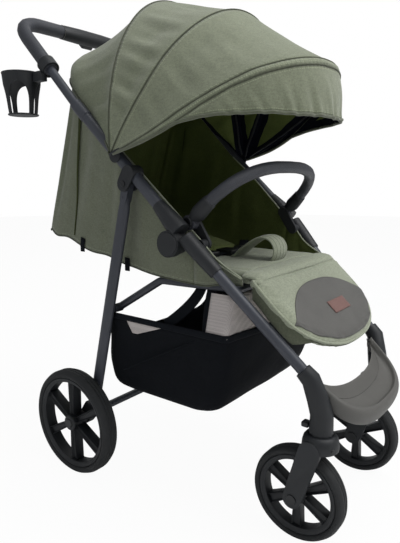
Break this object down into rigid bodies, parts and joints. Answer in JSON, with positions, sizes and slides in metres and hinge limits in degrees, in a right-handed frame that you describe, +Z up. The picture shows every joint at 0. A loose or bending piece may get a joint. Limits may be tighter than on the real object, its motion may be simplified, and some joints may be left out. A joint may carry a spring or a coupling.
{
  "type": "pushchair",
  "caption": "Folding all-terrain pushchair with swivel front wheels, hooped canopy, deep reclining seat, bumper bar, footrest, under-seat basket and cup holder.",
  "frame": {"origin": "on the ground, below the middle of the part", "axes": "+Z up; -Y is the direction of travel, so the footrest is at -Y and the handle at +Y; +X is the left-hand side of a child in the seat"},
  "size_m": [0.5935, 0.9072, 1.1311],
  "materials": {
    "frame": "dark matte coating",
    "dark_plastic": "fine matte",
    "grey_plastic": "matte",
    "tyre": "matte",
    "grip": "leather-like cover over foam",
    "green_cloth": "melange weave",
    "pad_cloth": "melange weave, padded",
    "basket_cloth": "woven"
  },
  "bodies": {
    "front_frame": {"front_leg_right": "frame", "front_leg_left": "frame", "fold_lower_right": "dark_plastic", "fold_lower_left": "dark_plastic", "swivel_housing_right": "dark_plastic", "swivel_housing_left": "dark_plastic", "footrest": "grey_plastic", "bumper_mount_right": "dark_plastic", "bumper_mount_left": "dark_plastic"},
    "swivel_lock_r": {"swivel_lock_right": "dark_plastic"},
    "swivel_lock_l": {"swivel_lock_left": "dark_plastic"},
    "fork_r": {"fork_right": "dark_plastic"},
    "fork_l": {"fork_left": "dark_plastic"},
    "front_wheel_r": {"rim_front_right": "dark_plastic", "tyre_front_right": "tyre"},
    "front_wheel_l": {"rim_front_left": "dark_plastic", "tyre_front_left": "tyre"},
    "upper_frame": {"fold_upper_right": "dark_plastic", "fold_upper_left": "dark_plastic", "upper_tube_right": "frame", "upper_tube_left": "frame", "rear_bracket_right": "dark_plastic", "rear_bracket_left": "dark_plastic", "canopy_hinge_right": "dark_plastic", "canopy_hinge_left": "dark_plastic", "handle_grip_right": "grip", "handle_grip_left": "grip", "fold_control": "dark_plastic", "cup_holder": "dark_plastic", "cup_clamp": "dark_plastic", "bow_rear": "frame", "canopy_rear": "green_cloth", "canopy_back": "green_cloth", "seat_shell": "green_cloth"},
    "canopy_mid": {"bow_mid": "frame", "canopy_front": "green_cloth"},
    "canopy_front": {"bow_front": "frame", "canopy_peak": "green_cloth"},
    "fold_button": {"fold_button": "dark_plastic"},
    "rear_frame": {"rear_leg_right": "frame", "rear_leg_left": "frame", "rear_housing_right": "dark_plastic", "rear_housing_left": "dark_plastic", "rear_axle": "frame", "basket": "basket_cloth"},
    "brake_pedal": {"brake_pedal": "dark_plastic"},
    "rear_wheel_r": {"rim_rear_right": "dark_plastic", "tyre_rear_right": "tyre"},
    "rear_wheel_l": {"rim_rear_left": "dark_plastic", "tyre_rear_left": "tyre"},
    "seat_frame": {"seat_link": "frame", "seat_pad": "pad_cloth", "crotch_pad": "pad_cloth", "harness_buckle": "dark_plastic"},
    "backrest": {"backrest": "green_cloth"},
    "calf_rest": {"calf_rest": "pad_cloth"},
    "bumper": {"bumper_bar": "grip"},
    "bumper_button_r": {"bumper_button_right": "dark_plastic"},
    "bumper_button_l": {"bumper_button_left": "dark_plastic"}
  },
  "joints": [
    {"name": "frame_fold", "type": "hinge", "parent": "front_frame", "child": "upper_frame", "pos_m": [0, -0.06691, 0.58951], "axis": [1, 0, 0], "range_deg": [-112, 0], "deforming": ["seat_shell"]},
    {"name": "rear_frame_swing", "type": "hinge", "parent": "upper_frame", "child": "rear_frame", "pos_m": [0, 0.058, 0.708], "axis": [1, 0, 0], "range_deg": [0, 69], "deforming": ["basket"]},
    {"name": "seat_link_swing", "type": "hinge", "parent": "front_frame", "child": "seat_frame", "pos_m": [0, -0.19, 0.5], "axis": [1, 0, 0], "range_deg": [-70.5, 0]},
    {"name": "backrest_recline", "type": "hinge", "parent": "seat_frame", "child": "backrest", "pos_m": [0, 0.0413, 0.5213], "axis": [1, 0, 0], "range_deg": [0, 50]},
    {"name": "calf_rest_tilt", "type": "hinge", "parent": "seat_frame", "child": "calf_rest", "pos_m": [0, -0.2253, 0.5193], "axis": [1, 0, 0], "range_deg": [-42, 0]},
    {"name": "bumper_swing", "type": "hinge", "parent": "front_frame", "child": "bumper", "pos_m": [0, -0.088, 0.631], "axis": [1, 0, 0], "range_deg": [-25, 40]},
    {"name": "bumper_button_press_r", "type": "slide", "parent": "bumper", "child": "bumper_button_r", "axis": [1, 0, 0], "range_m": [0, 0.002], "stiffness_N_per_m": 300, "springref_m": -0.001},
    {"name": "bumper_button_press_l", "type": "slide", "parent": "bumper", "child": "bumper_button_l", "axis": [-1, 0, 0], "range_m": [0, 0.002], "stiffness_N_per_m": 300, "springref_m": -0.001},
    {"name": "canopy_mid_swing", "type": "hinge", "parent": "upper_frame", "child": "canopy_mid", "pos_m": [0, 0.082, 0.768], "axis": [1, 0, 0], "range_deg": [-29, 0], "deforming": ["canopy_back"]},
    {"name": "canopy_front_swing", "type": "hinge", "parent": "canopy_mid", "child": "canopy_front", "pos_m": [0, 0.082, 0.768], "axis": [1, 0, 0], "range_deg": [-32, 0], "deforming": ["canopy_front"]},
    {"name": "fold_button_press", "type": "slide", "parent": "upper_frame", "child": "fold_button", "axis": [0, -0.7071, 0.7071], "range_m": [0, 0.005], "stiffness_N_per_m": 400, "springref_m": -0.002},
    {"name": "brake_pedal_press", "type": "hinge", "parent": "rear_frame", "child": "brake_pedal", "pos_m": [0, 0.205, 0.142], "axis": [1, 0, 0], "range_deg": [-15, 0]},
    {"name": "fork_swivel_r", "type": "hinge", "parent": "front_frame", "child": "fork_r", "pos_m": [-0.16, -0.371, 0.238], "axis": [0, 0, 1], "continuous": true},
    {"name": "front_wheel_spin_r", "type": "hinge", "parent": "fork_r", "child": "front_wheel_r", "pos_m": [-0.16, -0.33, 0.098], "axis": [1, 0, 0], "continuous": true},
    {"name": "swivel_lock_flip_r", "type": "hinge", "parent": "front_frame", "child": "swivel_lock_r", "pos_m": [-0.16, -0.3408, 0.25], "axis": [1, 0, 0], "range_deg": [0, 25]},
    {"name": "rear_wheel_spin_r", "type": "hinge", "parent": "rear_frame", "child": "rear_wheel_r", "pos_m": [-0.27, 0.223, 0.13], "axis": [1, 0, 0], "continuous": true},
    {"name": "fork_swivel_l", "type": "hinge", "parent": "front_frame", "child": "fork_l", "pos_m": [0.16, -0.371, 0.238], "axis": [0, 0, 1], "continuous": true},
    {"name": "front_wheel_spin_l", "type": "hinge", "parent": "fork_l", "child": "front_wheel_l", "pos_m": [0.16, -0.33, 0.098], "axis": [1, 0, 0], "continuous": true},
    {"name": "swivel_lock_flip_l", "type": "hinge", "parent": "front_frame", "child": "swivel_lock_l", "pos_m": [0.16, -0.3408, 0.25], "axis": [1, 0, 0], "range_deg": [0, 25]},
    {"name": "rear_wheel_spin_l", "type": "hinge", "parent": "rear_frame", "child": "rear_wheel_l", "pos_m": [0.27, 0.223, 0.13], "axis": [1, 0, 0], "continuous": true}
  ],
  "couplings": [
    {"joint": "rear_frame_swing", "follows": "frame_fold", "ratio": -0.615},
    {"joint": "seat_link_swing", "follows": "frame_fold", "ratio": 0.628},
    {"joint": "canopy_front_swing", "follows": "canopy_mid_swing", "ratio": 1.1}
  ]
}
